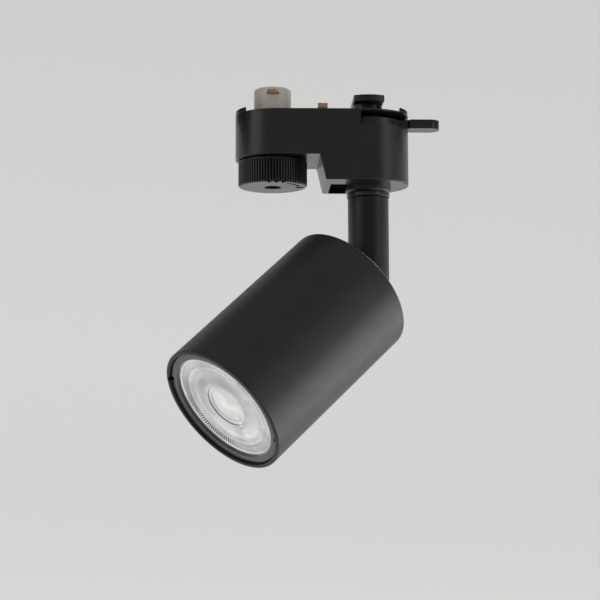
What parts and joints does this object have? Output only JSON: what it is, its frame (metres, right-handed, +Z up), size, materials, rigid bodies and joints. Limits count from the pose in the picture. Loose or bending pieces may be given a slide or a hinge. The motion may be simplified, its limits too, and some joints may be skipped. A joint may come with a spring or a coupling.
{
  "type": "track spotlight",
  "caption": "Tubular spotlight head on a tilting and panning stem, held by a latching adapter with a contact knob that locks under a lighting rail.",
  "frame": {"origin": "centre of the adapter's top seat, the flat face that lies against the underside of the rail", "axes": "+Z up out of the adapter into the rail; +X along the rail, towards the lock lever; +Y across the rail, away from the side that the lever swings to"},
  "size_m": [0.1101, 0.0835, 0.1552],
  "materials": {
    "black_plastic": "black moulded plastic, fine satin grain",
    "knob_plastic": "black moulded plastic, ribbed grip",
    "grey_plastic": "dark grey moulded plastic, satin",
    "natural_plastic": "off-white engineering plastic",
    "powder_black": "black powder coat on aluminium, fine texture, low sheen",
    "satin_black": "black coat on aluminium, smooth, satin",
    "steel": "zinc-plated steel",
    "brass": "turned brass",
    "copper": "copper alloy contact strip",
    "ceramic": "unglazed white ceramic",
    "lamp_white": "white lamp housing",
    "lens_clear": "clear moulded optic, frosted rim",
    "board_white": "white solder mask on an aluminium board",
    "board_green": "green circuit board",
    "phosphor": "yellow phosphor cover of the emitter",
    "rubber_black": "soft black rubber",
    "lead_brown": "brown lead insulation",
    "lead_blue": "blue lead insulation",
    "lead_green": "green lead insulation"
  },
  "bodies": {
    "adapter": {"housing_front": "black_plastic", "housing_back": "black_plastic", "top_cover": "black_plastic", "housing_screw_1": "steel", "housing_screw_2": "steel", "earth_contact": "copper", "live_lead_adapter": "lead_brown", "neutral_lead_adapter": "lead_blue", "earth_lead_adapter": "lead_green"},
    "contacts": {"contact_rotor": "natural_plastic", "live_contact": "copper", "neutral_contact": "copper", "contact_knob": "knob_plastic", "knob_screw": "brass"},
    "lock": {"lock_lever": "black_plastic", "lock_spindle": "black_plastic", "lock_wing": "black_plastic", "lock_screw": "steel"},
    "stem": {"stem": "satin_black", "friction_ring": "black_plastic", "swivel_nipple": "steel", "swivel_washer": "natural_plastic", "stop_washer": "steel", "swivel_nut": "brass", "tilt_screw": "steel", "live_lead_stem": "lead_brown", "neutral_lead_stem": "lead_blue"},
    "head": {"tilt_bracket": "powder_black", "tilt_washer_1": "natural_plastic", "tilt_washer_2": "natural_plastic", "rear_cap": "powder_black", "head_shell": "powder_black", "cable_bush": "rubber_black", "holder_bridge": "steel", "lampholder": "ceramic", "socket_clip_live": "brass", "socket_clip_neutral": "brass", "bracket_screw_1": "steel", "bracket_screw_2": "steel", "bridge_spacer_1": "brass", "bridge_spacer_2": "brass", "bridge_screw_1": "steel", "bridge_screw_2": "steel", "lampholder_screw_1": "steel", "lampholder_screw_2": "steel", "live_lead_head": "lead_brown", "neutral_lead_head": "lead_blue"},
    "ring": {"retaining_ring": "grey_plastic"},
    "lamp": {"lamp_shell": "lamp_white", "lamp_base": "lamp_white", "lamp_pin_live": "steel", "lamp_pin_neutral": "steel", "lamp_lens": "lens_clear", "led_chip": "phosphor", "led_board": "board_white", "driver_board": "board_green"}
  },
  "joints": [
    {"name": "contact_turn", "type": "hinge", "parent": "adapter", "child": "contacts", "pos_m": [-0.0201, 0, 0], "axis": [0, 0, 1], "range_deg": [0, 90]},
    {"name": "lock_turn", "type": "hinge", "parent": "adapter", "child": "lock", "pos_m": [0.01875, 0, 0], "axis": [0, 0, 1], "range_deg": [-90, 0]},
    {"name": "stem_pan", "type": "hinge", "parent": "adapter", "child": "stem", "pos_m": [0.01875, 0, 0], "axis": [0, 0, 1], "range_deg": [-203, 136]},
    {"name": "head_tilt", "type": "hinge", "parent": "stem", "child": "head", "pos_m": [0.01875, 0, -0.06569], "axis": [-0.5454, 0.8382, 0], "range_deg": [-50.33, 39.67]},
    {"name": "ring_twist", "type": "hinge", "parent": "head", "child": "ring", "pos_m": [0.01875, 0, -0.06569], "axis": [-0.6452, -0.4198, -0.6384], "range_deg": [0, 20]},
    {"name": "lamp_twist", "type": "hinge", "parent": "head", "child": "lamp", "pos_m": [0.01875, 0, -0.06569], "axis": [-0.6452, -0.4198, -0.6384], "range_deg": [0, 20]}
  ]
}
